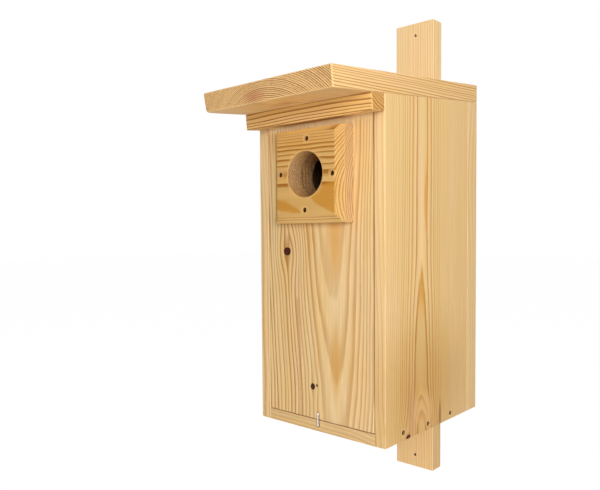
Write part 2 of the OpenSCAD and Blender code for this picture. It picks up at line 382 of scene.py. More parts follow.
# How far a point lies inside a many-sided patch, as a soft 0 to 1: the distance to its nearest side,
# counted as less than nothing outside, over the softness. Slow waves make the outline uneven.
def patchShade(a, b, p, seed, wave=5):
    corners = np.array(p["corners"], float)
    following = np.roll(corners, -1, 0)
    edge = following - corners
    away = np.stack([a, b], 1)[:, None] - corners
    share = np.clip((away * edge).sum(2) / (edge**2).sum(1), 0, 1)
    near = np.linalg.norm(away - share[..., None] * edge, axis=2).min(1)
    crossing = (corners[:, 1] > b[:, None]) != (following[:, 1] > b[:, None])
    drop = np.where(edge[:, 1] == 0, 1e-9, edge[:, 1])
    reached = corners[:, 0] + (b[:, None] - corners[:, 1]) * edge[:, 0] / drop
    inside = (crossing & (a[:, None] < reached)).sum(1) % 2 == 1
    deep = np.where(inside, near, -near) + p["ragged"] * slowWaves(a, b, 0 * a, seed, wave, wave)
    t = np.clip(0.5 + deep / (2 * p["soft"]), 0, 1)
    return t * t * (3 - 2 * t) * p["strength"]


# Shader helpers. A value is another node's output, which is linked, or a number or colour, which is set.
def srgb(r, g, b):
    linear = (c / 255 / 12.92 if c <= 10.31475 else ((c / 255 + 0.055) / 1.055) ** 2.4 for c in (r, g, b))
    return tuple(linear) + (1.0,)


def feed(tree, socket, value):
    if isinstance(value, bpy.types.NodeSocket):
        tree.links.new(value, socket)
    else:
        socket.default_value = value


def addNode(tree, kind, values=None, **settings):
    node = tree.nodes.new(kind)
    for key, value in settings.items():
        setattr(node, key, value)
    for key, value in (values or {}).items():
        feed(tree, node.inputs[key], value)
    return node


def sums(tree, operation, *values, clamp=False):
    node = addNode(tree, "ShaderNodeMath", dict(enumerate(values)), operation=operation, use_clamp=clamp)
    return node.outputs[0]


def times(tree, a, b, clamp=False):
    return sums(tree, "MULTIPLY", a, b, clamp=clamp)


def minus(tree, a, b):
    return sums(tree, "SUBTRACT", a, b)


def timesPlus(tree, a, b, c):
    return sums(tree, "MULTIPLY_ADD", a, b, c)


def larger(tree, a, b):
    return sums(tree, "MAXIMUM", a, b)


def vectorSum(tree, operation, *values):
    return addNode(tree, "ShaderNodeVectorMath", dict(enumerate(values)), operation=operation).outputs[0]


def distance(tree, vector):
    return addNode(tree, "ShaderNodeVectorMath", {0: vector}, operation="LENGTH").outputs["Value"]


def ramp(tree, value, start, stop, low=0.0, high=1.0, kind="SMOOTHSTEP"):
    values = {"Value": value, "From Min": start, "From Max": stop, "To Min": low, "To Max": high}
    return addNode(tree, "ShaderNodeMapRange", values, interpolation_type=kind).outputs["Result"]


def blend(tree, mask, a, b, how="MIX"):
    node = addNode(tree, "ShaderNodeMix", data_type="RGBA", blend_type=how)
    for key, value in (("Factor_Float", mask), ("A_Color", a), ("B_Color", b)):
        feed(tree, next(s for s in node.inputs if s.identifier == key), value)
    return next(s for s in node.outputs if s.identifier == "Result_Color")


def noise(tree, position, size, detail=2.0, rough=0.5):
    stretched = vectorSum(tree, "DIVIDE", position, size)
    values = {"Vector": stretched, "Scale": 1.0, "Detail": detail, "Roughness": rough}
    return addNode(tree, "ShaderNodeTexNoise", values).outputs["Fac"]


def swing(tree, *noiseValues):  # noise that goes below zero as often as above
    return minus(tree, noise(tree, *noiseValues), 0.5)


def fade(tree, value, start, stop):  # 1 at the start, 0 at the stop
    return ramp(tree, value, start, stop, 1.0, 0.0)


def chance(tree, number):
    return addNode(tree, "ShaderNodeTexWhiteNoise", {"W": number}, noise_dimensions="1D").outputs["Value"]


origin = (0, 0, 0)
grey = (0.5, 0.5, 0.5, 1)


# A new group. Its inputs go by name and first value, whose length tells a vector from a colour.
def newGroup(name, inputs, **outputs):
    group = bpy.data.node_groups.new(name, "ShaderNodeTree")
    for key, value in inputs.items():
        kind = {0: "Float", 3: "Vector", 4: "Color"}[len(value) if isinstance(value, tuple) else 0]
        socket = group.interface.new_socket(name=key, in_out="INPUT", socket_type="NodeSocket" + kind)
        socket.default_value = value
    for key, kind in outputs.items():
        group.interface.new_socket(name=key, in_out="OUTPUT", socket_type="NodeSocket" + kind)
    return group, group.nodes.new("NodeGroupInput").outputs


def useGroup(tree, group, values):
    node = addNode(tree, "ShaderNodeGroup", node_tree=group)
    for key, value in values.items():
        feed(tree, node.inputs[key], value)
    return node.outputs


# Values made ready for a group's inputs: lateStart goes to Late Start, and colours are made linear.
def labelled(values):
    words = {k: "".join(" " + c if c.isupper() else c for c in k).title() for k in values}
    return {words[k]: srgb(*v) if isinstance(v, tuple) else v for k, v in values.items()}


# Bare pine, unless a board says otherwise: its colours, then how its rings, fibres and tints go.
timberLook = dict(
    early=(236, 203, 150),
    late=(200, 150, 86),
    warm=(232, 192, 128),
    rose=(230, 194, 150),
    endEarly=(226, 184, 134),
    endLate=(170, 118, 74),
    torn=(150, 112, 72),
    stained=(200, 142, 66),
    lateStart=0.5,
    lateFull=0.93,
    lateSoft=0.1,
    variation=0.5,
    wobble=0.25,
    fibre=0.1,
    speckle=0.2,
    tint=0.5,
)
timberMarks = ("rings", "strength", "endGrain", "arris", "rim", "bored", "stain")  # set at each point
timberBump = 0.08  # how deep the grain is


# Pine: every ring starts pale, darkens to a sharp late edge, and carries fibres, resin lines and slow
# tints. End grain has its own two colours and speckles, and what a drill or a screw has torn is rough.
def makePineGrain():
    inputs = {"Position": origin, **labelled(dict.fromkeys(timberMarks, 0.0)), **labelled(timberLook)}
    t, i = newGroup("pineGrain", inputs, Color="Color", Roughness="Float", Height="Float")
    place = i["Position"]  # in millimetres, Z along the grain
    wobble = swing(t, place, (7, 7, 70), 3)
    shiver = swing(t, place, (1.2, 1.2, 16))
    rings = timesPlus(t, wobble, i["Wobble"], i["Rings"])
    rings = timesPlus(t, shiver, times(t, i["Wobble"], 0.35), rings)
    part, whole = sums(t, "FRACT", rings), sums(t, "FLOOR", rings)
    shift = times(t, chance(t, sums(t, "ADD", whole, 37.31)), -0.2)  # each ring darkens at its own place
    build = ramp(t, part, sums(t, "ADD", i["Late Start"], shift), sums(t, "ADD", i["Late Full"], shift))
    stop = fade(t, part, minus(t, 1.0, i["Late Soft"]), 1.0)
    dim = minus(t, 1.0, times(t, chance(t, whole), i["Variation"]))
    late = times(t, times(t, times(t, build, stop), dim), i["Strength"], clamp=True)
    pale = times(t, fade(t, part, 0.0, 0.4), i["Strength"])

    slow = ramp(t, noise(t, place, (26, 26, 210)), 0.3, 0.7)
    slowTwo = ramp(t, noise(t, place, (17, 17, 150), 2, 0.6), 0.35, 0.7)
    early = blend(t, times(t, slow, i["Tint"]), i["Early"], i["Rose"])
    early = blend(t, times(t, slowTwo, i["Tint"]), early, i["Warm"])
    early = vectorSum(t, "MULTIPLY", early, timesPlus(t, pale, 0.07, 0.98))
    side = blend(t, late, early, i["Late"])
    end = blend(t, late, i["End Early"], i["End Late"])
    color = blend(t, i["End Grain"], side, end)
    color = blend(t, i["Stain"], color, i["Stained"])

    fine = noise(t, place, (0.45, 0.45, 22), 2, 0.6)
    middle = noise(t, place, (1.7, 1.7, 60), 2, 0.55)
    streak = sums(t, "ADD", times(t, fine, 0.6), times(t, middle, 0.8))
    streak = times(t, minus(t, streak, 0.7), i["Fibre"])
    grit = times(t, swing(t, place, (1.1, 1.1, 1.1), 3, 0.75), i["Speckle"])
    torn = times(t, swing(t, place, (1.6, 1.6, 2.6), 3, 0.7), 1.5)
    fibre = blend(t, i["Bored"], blend(t, i["End Grain"], streak, grit), torn)
    color = blend(t, times(t, i["Bored"], 0.75), color, i["Torn"])
    color = vectorSum(t, "MULTIPLY", color, timesPlus(t, fibre, 2.0, 1.0))
    cut = larger(t, i["End Grain"], i["Bored"])  # where the fibres are cut across
    resin = ramp(t, noise(t, place, (0.35, 0.35, 7), 1), 0.7, 0.78)
    color = blend(t, times(t, resin, times(t, minus(t, 1.0, cut), 0.35)), color, i["Late"])
    light = blend(t, 0.75, color, vectorSum(t, "MULTIPLY", i["Early"], (1.12, 1.12, 1.16)))
    worn = larger(t, times(t, i["Arris"], 0.6), times(t, i["Rim"], 0.8))
    color = blend(t, worn, color, light)

    rough = timesPlus(t, fibre, 0.5, timesPlus(t, late, -0.1, 0.62))
    rough = timesPlus(t, cut, 0.25, rough)
    height = timesPlus(t, late, 0.35, times(t, fibre, 3.0))
    addNode(t, "NodeGroupOutput", {"Color": color, "Roughness": rough, "Height": height})
    return t


# How far a point is from a mark's centre, in its half sizes, as a vector and as an uneven distance.
def markFar(t, i, ragged, *noiseValues):
    away = vectorSum(t, "DIVIDE", vectorSum(t, "SUBTRACT", i["Position"], i["Centre"]), i["Size"])
    return away, timesPlus(t, swing(t, i["Position"], *noiseValues), ragged, distance(t, away))


# A soft-edged spot: full inside its core, fading to nothing at its size, with a ragged outline.
def makeSoftSpot():
    inputs = {"Position": origin, "Centre": origin, "Size": (1, 1, 1), "Ragged": 0.3, "Core": 0.0}
    t, i = newGroup("softSpot", inputs, Mask="Float")
    far = markFar(t, i, i["Ragged"], (5, 5, 22), 3, 0.6)[1]
    addNode(t, "NodeGroupOutput", {"Mask": fade(t, far, i["Core"], 1.0)})
    return t


# A knot: a dark core, a darker ring of bark round it and a warm halo that runs out along the grain.
def makePineKnot():
    inputs = {"Color": grey, "Position": origin, "Centre": origin, "Size": (1, 1, 1)}
    inputs.update({"Core": grey, "Bark": grey, "Halo": grey, "Halo Length": 3.0, "Halo Strength": 0.6})
    t, i = newGroup("pineKnot", inputs, Color="Color")
    away, far = markFar(t, i, 0.5, (1.6, 1.6, 1.6), 2, 0.6)
    stretch = addNode(t, "ShaderNodeCombineXYZ", {"X": 1.5, "Y": 1.5, "Z": i["Halo Length"]}).outputs[0]
    haloFar = distance(t, vectorSum(t, "DIVIDE", away, stretch))
    color = blend(t, times(t, fade(t, haloFar, 0.25, 1.0), i["Halo Strength"]), i["Color"], i["Halo"])
    color = blend(t, fade(t, far, 0.92, 1.12), color, i["Bark"])
    mottle = ramp(t, noise(t, i["Position"], (1.1, 1.1, 1.1)), 0.35, 0.65)
    color = blend(t, times(t, fade(t, far, 0.5, 0.85), mottle), color, i["Core"])
    addNode(t, "NodeGroupOutput", {"Color": color})
    return t


pineGrain, softSpot, pineKnot = makePineGrain(), makeSoftSpot(), makePineKnot()


def newTree(owner):
    owner.use_nodes = True
    owner.node_tree.nodes.clear()
    return owner.node_tree


def placeMm(t):
    values = {0: addNode(t, "ShaderNodeTexCoord").outputs["Object"], "Scale": 1 / mm}
    return addNode(t, "ShaderNodeVectorMath", values, operation="SCALE").outputs[0]


def closeMaterial(t, height, strength, deep, values):
    bump = addNode(t, "ShaderNodeBump", {"Height": height, "Strength": strength, "Distance": deep * mm})
    shader = addNode(t, "ShaderNodeBsdfPrincipled", {**values, "Normal": bump.outputs[0]})
    addNode(t, "ShaderNodeOutputMaterial", {"Surface": shader.outputs[0]})


# A stain, a tint, or a patch of painted light or shade on a board: its middle and half sizes, how strong it
# is, its colour, and the share of its size that is full. One that is inside shows on a hole's wall too.
def spot(at, size, strength, color, core=0.0, ragged=0.3, inside=False, how="MIX"):
    look = dict(strength=strength, color=color, inside=inside, how=how)
    return dict(look, at=at, size=size, core=core, ragged=ragged)


def darkKnot(at, size, core, bark, halo, haloLength=3.0, haloStrength=0.6):
    look = dict(core=core, bark=bark, halo=halo, haloLength=haloLength, haloStrength=haloStrength)
    return {"Centre": at, "Size": size, **labelled(look)}


# One board's material: the grain with this board's colours, then its spots and knots.
def timberMaterial(name, finish):
    material = bpy.data.materials.new(name)
    t = newTree(material)
    place = placeMm(t)
    turn = [math.radians(a) for a in finish.get("turn", origin)]
    turned = addNode(t, "ShaderNodeMapping", {"Vector": place, "Rotation": turn}).outputs[0]
    marks = {k: addNode(t, "ShaderNodeAttribute", attribute_name=k).outputs["Fac"] for k in timberMarks}
    look = {k: finish.get(k, v) for k, v in timberLook.items()}
    pine = useGroup(t, pineGrain, {"Position": turned, **labelled(marks), **labelled(look)})
    color = pine["Color"]
    whole = minus(t, 1.0, marks["bored"])
    for s in finish.get("spots", ()):
        values = {"Centre": s["at"], "Size": s["size"], "Ragged": s["ragged"], "Core": s["core"]}
        mask = useGroup(t, softSpot, {"Position": place, **values})["Mask"]
        if not s["inside"]:
            mask = times(t, mask, whole)
        color = blend(t, times(t, mask, s["strength"]), color, srgb(*s["color"]), s["how"])
    for knot in finish.get("darkKnots", ()):
        color = useGroup(t, pineKnot, {"Color": color, "Position": place, **knot})["Color"]
    values = {"Base Color": color, "Roughness": pine["Roughness"], "Specular IOR Level": 0.12}
    closeMaterial(t, pine["Height"], 0.6, timberBump, values)
    return material


# Builds one board: its skin, its rings and how strong they are, its end grain and its arrises.
def makeBoard(name, body, node, p):
    skin = boardSkin(p)
    normal = abs(skin["normal"])
    local = p["carve"](skin["local"]) if "carve" in p else skin["local"]
    g = {**grainUsual, **p["grain"]}
    across, depth, along = (local[:, k] for k in g["axes"])
    depth = (depth - g["face"]) * g["inward"]
    under = np.maximum(depth, 0)
    strength = smoothCurve(*g["strong"], across)
    if "strongDeep" in g:
        strength = 1 + (strength - 1) * np.exp(-under / g["strongDeep"])
    if "paler" in g:
        paler = g["paler"]
        strength = strength * (1 - paler["by"] * np.clip((depth - paler["start"]) / paler["over"], 0, 1))
    stain = np.zeros(len(local))
    for k, part in enumerate(g["patches"]):
        shade = patchShade(along, across, part, g["seed"] + 5 + k)
        stain = np.maximum(stain, shade * np.exp(-under / g["stainDeep"]))
    values = dict(
        stain=stain * (1 - skin["bored"]),
        rings=ringNumber(across, depth, along, g),
        strength=strength,
        endGrain=np.clip((normal[:, g["axes"][2]] - 0.5) * 2.2, 0, 1),
        arris=np.clip((1 - normal.max(1)) / 0.25, 0, 1) * (1 - skin["bored"]),
        rim=skin["rim"] * g["crushed"],
        bored=skin["bored"] * (1 - g["freshMouth"] * np.exp(-under / g["freshDeep"])),
    )
    points = p["place"](local) if "place" in p else local
    material = timberMaterial(name + "Pine", p["finish"])
    addPiece(name, points, skin["quads"], skin["fans"], body, material, [node], values)
    print("board", name, len(points), "points")


# A hole's profile is its radius by its depth. It takes a square window out of the lattice, given by its
# half side and parts, and rows of faces lead from there to its edge. Its wall looks torn from fresh down.
screwHole = [(4.3, 0), (3.3, 0.03), (2.98, 0.08), (2.86, 0.25), (2.82, 0.5), (2.82, 1.62)]
screwHole += [(1.75, 3.85), (1.7, 5.5)]
floorCatchHole = [(1.75, 0), (1.4, 0.08), (1.3, 0.3), (1.3, 4), (1.3, 11.2)]
panelCatchHole = [(1.6, 0), (1.2, 0.1), (0.95, 0.3), (0.95, 4), (0.95, 10.2)]
nailHole = [(2.5, 0), (2.1, 0.1), (2.0, 0.5), (2.0, 7), (2.0, 14.5), (2.0, 21), (2.1, 21.4), (2.5, stock)]


def hole(axis, side, at, half, profile, parts=8, rows=3, through=False, ripple=None, fresh=0.5):
    return dict(
        axis=axis, side=side, at=at, half=half, profile=profile, parts=parts, rows=rows,
        through=through, ripple=ripple, fresh=fresh,
    )


def screwHoles(axis, side, places):
    return [hole(axis, side, at, half=5.5, profile=screwHole) for at in places]


def catchHole(z, profile):
    return hole(1, 0, (0, 0, z), half=4.2, profile=profile, parts=6, rows=2)


toolSet = dict(pitch=1.9, fine=0.05, coarse=0.06, fade=1.5, lip=0.9, rings=30)


# A bore's wall moves in and out by a fine helical tool mark and a coarse one, both fading at its mouths.
def toolMarks(angle, deep):
    fine = np.sin(deep * 2 * math.pi / toolSet["pitch"] + angle) * toolSet["fine"]
    coarse = np.sin(deep * 1.3 + 2.1 * angle + 0.8) * np.sin(3 * angle + 0.4) * toolSet["coarse"]
    inside = np.clip(np.minimum(deep, stock - deep) / toolSet["fade"], 0, 1)
    return (fine + coarse) * inside


# The entrance's bore through one board, eased at both mouths.
def bore(half, parts, front, rear, fresh):
    deep = toolSet["lip"]
    lip = [(1.0, 0), (0.3, 0.24), (0, deep)]
    start = [(boreR + front * r, front * d) for r, d in lip]
    wall = [(boreR, d) for d in np.linspace(deep, stock - deep, toolSet["rings"])]
    stop = [(boreR + rear * r, stock - rear * d) for r, d in lip[::-1]]
    return hole(1, 0, (0, 0, holeZ), half, start + wall + stop, parts, 5, True, toolMarks, fresh)


def moved(p, axis, by):
    p = p.copy()
    p[:, axis] += by
    return p


# A board's upper end follows the roof from its front edge at y back: the slant comes in above low.
def slantFrom(y, low=60):
    def slant(p):
        share = np.clip((p[:, 2] - low) / (roofZ(y) - low), 0, 1)
        return moved(p, 2, (p[:, 1] - y) * math.tan(slope) * share)

    return slant


def middle(node):
    return tuple(np.mean(boxMm(node), axis=0))


floorScrewAt = [middle(f"floor_screw_right_{k}")[1:] for k in (1, 2, 3)]  # depth and height of each

wallGrain = dict(
    axes=(1, 0, 2), seed=11, pith=51.4, count=1, width=(2.2, 3.4), wave=0.9,
    drift=((-202, -60, 60, 185), (-154.5, -154.5, -153, -152.5)),
    rise=(
        (-202, -187, -175, -158, -117, -75, -11, 13, 90, 185),
        (700, 653, 572, 456, 400, 331, 184, 169, 152, 144),
    ),
    known=(42.2, 43.6, 45.6, 46.75, 49.6, 51.4, 54.3, 56.8, 58.8, 61.5, 64.1, 66.4),
    strong=(
        (-226, -221, -205, -192, -182, -125, -112, -90, -45),
        (0.7, 0.35, 0.6, 0.8, 1.0, 1.0, 0.5, 0.3, 0.3),
    ),
    knots=[dict(at=(-181.5, -199), pull=0.7, wide=12, long=22)],
)
wallStreak = patch(
    [(180, -140.2), (136, -139.4), (91.5, -141.6), (69, -144.2), (52.6, -145.6), (30.5, -143), (8, -139.4)]
    + [(8, -140.6), (30.5, -145.4), (52.6, -148.6), (69, -147.6), (91.5, -144), (136, -141), (180, -141.6)],
    0.7, 0.75, 0.2,
)

rightWall = dict(
    lo=(wallLo[0], frontY, baseZ),
    hi=(wallHi[0], backY, frontTopZ),
    rounding=0.9,
    step=(2.6, 2.2, 2.6),
    holes=screwHoles(0, 1, [(0, y, z) for y, z in floorScrewAt]),
    carve=slantFrom(frontY),
    grain=dict(wallGrain, face=wallHi[0], inward=-1, patches=[wallStreak]),
    finish=dict(
        early=(226, 192, 133), late=(194, 140, 70), stained=(216, 150, 72), warm=(230, 190, 122),
        torn=(126, 78, 36), lateStart=0.6,
        spots=[
            # painted shade: the lower part of the wall is multiplied darker, as if less lit
            spot((90, -150, -152), (50, 150, 120), 0.85, (226, 208, 176), how="MULTIPLY"),
            spot((84, -225.5, 130), (12, 1.5, 240), 0.3, (238, 206, 158), ragged=0.0),
            # painted shade in the gap between the wall's front edge and the panel
            spot((76.3, -225, 160), (1.1, 2, 420), 0.5, (128, 86, 34), 0.3, ragged=0.1),
            spot((90, -179, -165), (20, 5, 48), 0.45, (184, 128, 86)),
            spot((90, -155, -48), (40, 11, 46), 0.7, (219, 165, 84)),
            spot((90, -145, 62), (30, 5, 55), 0.75, (214, 152, 78)),
            spot((90, -174, -180), (30, 12, 48), 0.55, (205, 156, 112)),
            spot((90, -150, -178), (30, 26, 26), 0.5, (226, 180, 124), 0.5),
            spot((90, -118, -196), (30, 8, 22), 0.6, (200, 146, 90)),
            spot((90, -112.6, -192), (30, 3.0, 30), 0.9, (128, 82, 44), 0.15, ragged=0.15),
        ],
        darkKnots=[
            darkKnot((90, -181.6, -199.2), (8, 4.2, 2.2), (110, 52, 20), (46, 16, 2), (170, 108, 66), 3.2),
        ],
    ),
)

makeBoard("rightWall", "box", "right_side_wall", rightWall)

leftWall = dict(
    lo=(-wallHi[0], frontY, baseZ),
    hi=(-wallLo[0], backY, frontTopZ),
    rounding=0.9,
    step=(2.6, 2.6, 3),
    holes=screwHoles(0, 0, [(0, y, z) for y, z in floorScrewAt]),
    carve=slantFrom(frontY),
    grain=dict(
        wallGrain,
        seed=23,
        drift=((-202, -60, 60, 185), (-118, -120, -121, -124)),
        strong=((-226, -200, -170, -80, -45), (0.75, 0.7, 1, 0.9, 0.6)),
        knots=[dict(at=(-92, 58), pull=0.7, wide=14, long=30)],
        width=(2.2, 1.9), face=-wallHi[0],
    ),
    finish=dict(
        early=(229, 196, 144), late=(196, 146, 84),
        spots=[
            # painted shade: the inside of the wall, seen through the entrance, is darkened
            spot((-76.4, -134, 98), (6, 34, 52), 0.7, (46, 16, 8), 0.4),
            spot((-84, -225.5, 120), (12, 1.5, 240), 0.35, (238, 208, 160), ragged=0.0),
        ],
        darkKnots=[darkKnot((-90, -92, 58), (8, 5, 6.5), (128, 74, 40), (84, 46, 26), (196, 142, 88))],
    ),
)

makeBoard("leftWall", "box", "left_side_wall", leftWall)

backWall = dict(
    lo=backLo,
    hi=(backHi[0], backHi[1], roofZ(backLo[1])),
    rounding=0.9,
    step=(3, 4, 3.2),
    holes=screwHoles(1, 1, [(x, 0, z) for x in (-cornerX, cornerX) for z in backScrewZ]),
    carve=slantFrom(backLo[1]),
    grain=dict(
        axes=(0, 1, 2), face=backHi[1], inward=-1, seed=31,
        drift=((-202, -40, 90, 200), (26, 22, 17, 20)), pith=62,
        rise=((-202, -60, 60, 200), (0, 420, 900, 1500)), known=(52, 56, 60, 64), width=(3.4, 4.2),
        strong=((-90, 40, 75, 90), (0.9, 0.9, 0.45, 0.35)),
        knots=[
            dict(at=(-44, 60), pull=0.75, wide=18, long=38),
            dict(at=(60, -118), pull=0.7, wide=12, long=26),
        ],
    ),
    finish=dict(
        early=(230, 197, 143), late=(198, 148, 84),
        darkKnots=[
            darkKnot((-44, -21.5, 60), (6.5, 8, 8.5), (134, 76, 40), (86, 46, 25), (196, 142, 86), 2.6),
            darkKnot((60, -21.5, -118), (4, 8, 5), (96, 56, 34), (60, 34, 20), (196, 142, 86), 2.8),
        ],
    ),
)

makeBoard("backWall", "box", "back_board", backWall)

floorBase = dict(
    lo=floorLo,
    hi=floorHi,
    rounding=0.6,
    step=(2.8, 4, 2.6),
    holes=[catchHole(catchLow, floorCatchHole)],
    grain=dict(
        axes=(1, 2, 0), face=floorLo[2], seed=41, drift=((-80, 80), (-190, -192)), pith=70,
        rise=((-80, 0, 50, 80), (0, 30, 120, 620)), known=(62, 66, 70, 74), width=(3.2, 3.8),
        strong=((-226, -200, -45), (0.5, 0.8, 0.8)),
    ),
    finish=dict(
        early=(217, 181, 127), late=(182, 136, 78), turn=(0, 90, 0),
        # darker round the catch wire where it enters the floor's front edge
        spots=[spot((-0.6, -225, -192.5), (3.4, 6, 6), 0.8, (104, 74, 42), 0.3, ragged=0.1)],
    ),
)

makeBoard("floorBase", "box", "floor_board", floorBase)

knotStreak = patch(
    [(-50, -30.6), (-54.7, -29.6), (-89, -26.6), (-124, -25.8), (-159, -24.9), (-188, -23.4)]
    + [(-188, -26.6), (-159, -28.2), (-124, -29.6), (-89, -31), (-54.7, -33.4)],
    1.2, 0.5,
)
knotShade = patch(
    [(22, -44.6), (8, -45.2), (5, -43.5), (5, -48.5), (-3, -48.5), (-5, -46.6), (-22, -46.6), (-22, -46)]
    + [(-3, -44.2), (4, -43)],
    0.7, 0.8, 0.3,
)
paleHalo, warmHalo = (196, 150, 92), (172, 114, 62)
frontPanel = dict(
    lo=panelLo,
    hi=panelHi,
    rounding=0.7,
    step=(1.6, 4, 2.2),
    holes=[bore(30, 24, 0.12, 0.5, 1e-6), catchHole(catchHigh, panelCatchHole)],
    grain=dict(
        axes=(0, 1, 2), face=panelLo[1], seed=5,
        drift=((-190, -150, -100, -50, 34, 157), (25, 26, 24.5, 22.5, 20, 18)),
        pith=60,
        rise=((-190, -148, -54, 34, 157), (-200, 0, 451, 874, 1464)),
        known=(48.5, 52.0, 56.1, 60, 64.2, 66.9, 69.6, 72.6, 75.8, 79.3, 82.8, 86.2),
        width=(2.6, 3.9), wave=1.1, waveWide=30, waveLong=150, sides=(0.97, 1.03), crushed=0,
        strong=((-76, -35, -5, 10, 35, 50, 76), (1.05, 1.05, 0.75, 0.5, 0.5, 0.7, 0.85)),
        patches=[knotStreak, knotShade],
        knots=[
            dict(at=(-46.4, 1.4), pull=0.8, wide=15, long=26),
            dict(at=(-8.5, -151.6), pull=0.65, wide=7, long=12),
        ],
    ),
    finish=dict(
        early=(228, 197, 146), late=(184, 132, 64), fibre=0.2, warm=(228, 186, 116),
        rose=(229, 193, 150), stained=(186, 130, 72), torn=(130, 90, 50),
        spots=[
            # painted light on the bore's upper left wall, which otherwise lies in shade
            spot((-12, -214, 109), (13, 14, 10), 0.9, (206, 150, 96), 0.2, inside=True),
            # painted light on the band under the front rail, against the rail's shadow
            spot((0, -225, 150), (140, 20, 15), 0.75, (255, 228, 176), 0.5),
            spot((24, -225, 24), (13, 40, 78), 0.75, (216, 160, 80), 0.25),
            spot((-13, -225, 14), (3.6, 6, 44), 0.55, (204, 146, 60), 0.1),
            spot((51.6, -225.2, 106), (3.6, 3, 60), 0.5, (252, 216, 158), 0.3),
            # painted light on the panel left of the plate, against the plate's shadow
            spot((-64.5, -225.2, 84), (7, 3, 68), 0.75, (255, 221, 150), 0.3, ragged=0.1),
            spot((24.5, -225, -118), (9, 40, 60), 0.65, (208, 152, 72), 0.25),
            # painted shade on the panel's right edge, in the gap to the wall
            spot((76, -224.6, 160), (1.4, 3, 420), 0.7, (116, 74, 22), 0.3, ragged=0.1),
            # darker round the catch wire where it enters the panel
            spot((-1, -225, -185), (3.2, 6, 8), 0.8, (104, 74, 42), 0.3, ragged=0.1),
        ],
        darkKnots=[
            darkKnot((-46.4, -225.2, 1.4), (5.3, 9, 4.7), (96, 38, 18), (40, 12, 2), warmHalo, 5, 0.55),
            darkKnot((-8.5, -225.2, -151.6), (3.1, 9, 3.6), (84, 46, 20), (36, 18, 8), paleHalo, 2.2, 0.5),
            darkKnot((-2.5, -225.2, -149.5), (1.4, 9, 1.5), (90, 60, 34), (84, 54, 30), paleHalo, 2.0, 0.4),
        ],
    ),
)

makeBoard("frontPanel", "front", "front_panel", frontPanel)

bevel = dict(wide=8.5, deep=7.0, top=5.5, soft=0.5)
faceX, faceHigh, faceLow = plateHi[0] - bevel["wide"], plateHi[2] - bevel["top"], plateLo[2] + bevel["wide"]


# The plate's bevels: the front face drops back, straight, over the bevel's width along whichever edge is
# nearest, and the depth behind it is squeezed in step.
def bevelFront(p):
    past = np.maximum(abs(p[:, 0]) - faceX, np.maximum(p[:, 2] - faceHigh, faceLow - p[:, 2]))
    s = bevel["soft"]
    eased = np.where(past > s, past, np.clip(past + s, 0, None) ** 2 / (4 * s))
    drop = np.clip(eased, 0, bevel["wide"]) * bevel["deep"] / bevel["wide"]
    share = (plateHi[1] - p[:, 1]) / (plateHi[1] - plateLo[1])
    return moved(p, 1, drop * share)


bevelLines = (-bevel["soft"], 0, bevel["soft"])
plateScrews = ["plate_screw_" + n for n in ("top", "left", "right", "bottom")]
entrancePlate = dict(
    lo=plateLo,
    hi=plateHi,
    rounding=0.7,
    step=(1.4, 1.8, 1.4),
    wanted=(
        [s * (faceX + d) for s in (-1, 1) for d in bevelLines],
        [],
        [z + d for z in (faceLow, faceHigh) for d in bevelLines],
    ),
    holes=[bore(30, 40, 0.5, 0.12, 0.5)] + screwHoles(1, 0, [middle(node) for node in plateScrews]),
    carve=bevelFront,
    grain=dict(
        axes=(2, 1, 0), face=plateLo[1], seed=17, drift=((-50, 0, 50), (63.6, 62.8, 61.6)), pith=100,
        rise=((-50, 50), (0, 0)),
        known=(82.3, 85.9, 89.5, 93.1, 95.4, 97.7, 99.9, 101.1, 103.9, 105.85)
        + (108.2, 110.4, 112.5, 114.8, 116.7, 118.3, 119.9, 121.4, 122.9),
        width=(3.6, 1.6), wave=0.5, waveWide=40, waveLong=90,
        strong=((33, 40, 46, 54, 66, 136), (0.5, 0.45, 0.1, 0.1, 0.9, 1)),
        strongDeep=1.5, paler=dict(start=7, over=3, by=0.2), freshMouth=0.85,
        patches=[
            patch(
                [(41.6, 76.8), (24.6, 73.4), (16.2, 66.4), (9.1, 60.8)]
                + [(13.3, 56.4), (21.7, 51.3), (31.2, 47.3), (41.6, 43)],
                1.3, 0.85,
            ),
            patch(
                [(-47, 61.5), (-29.3, 57.9), (-17.2, 52.5), (-6.9, 46.8)]
                + [(-6.9, 44), (-21.8, 45.5), (-47, 49)],
                1.5, 0.85,
            ),
            patch([(-50, 41.8), (0, 40.6), (44, 42.2), (44, 41), (0, 39.4), (-50, 40.4)], 0.7, 0.4, 0.2),
            patch([(-50, 38.7), (0, 37.9), (44, 38.6), (44, 37.4), (0, 36.7), (-50, 37.4)], 0.7, 0.35, 0.2),
        ],
    ),
    finish=dict(
        early=(210, 168, 102), late=(162, 104, 38), warm=(204, 154, 76), rose=(210, 167, 104),
        stained=(194, 134, 46), torn=(204, 158, 110), endEarly=(208, 170, 116), endLate=(112, 66, 30),
        turn=(0, 90, 0),
        spots=[
            spot((0, -240, 36), (70, 20, 8), 0.35, (216, 180, 120), 0.3),
            # painted light on the plate's top bevel, which lies in the rail's shade
            spot((0, -240, 137), (70, 20, 8), 0.65, (252, 200, 112), 0.3),
            spot((-36, -246.7, 90.5), (18, 3, 5), 0.7, (200, 158, 96), 0.4),
            spot((50, -232, 84), (3, 12, 90), 0.15, (226, 182, 134), 0.5),
            spot((50, -233, 62), (4, 6, 11), 0.45, (190, 130, 106)),
            # painted shade on the bore's wall, darker deeper in
            spot((0, -223, 86.5), (40, 22, 40), 0.8, (124, 84, 47), 0.2, inside=True),
        ],
    ),
)

makeBoard("entrancePlate", "front", "entrance_plate", entrancePlate)

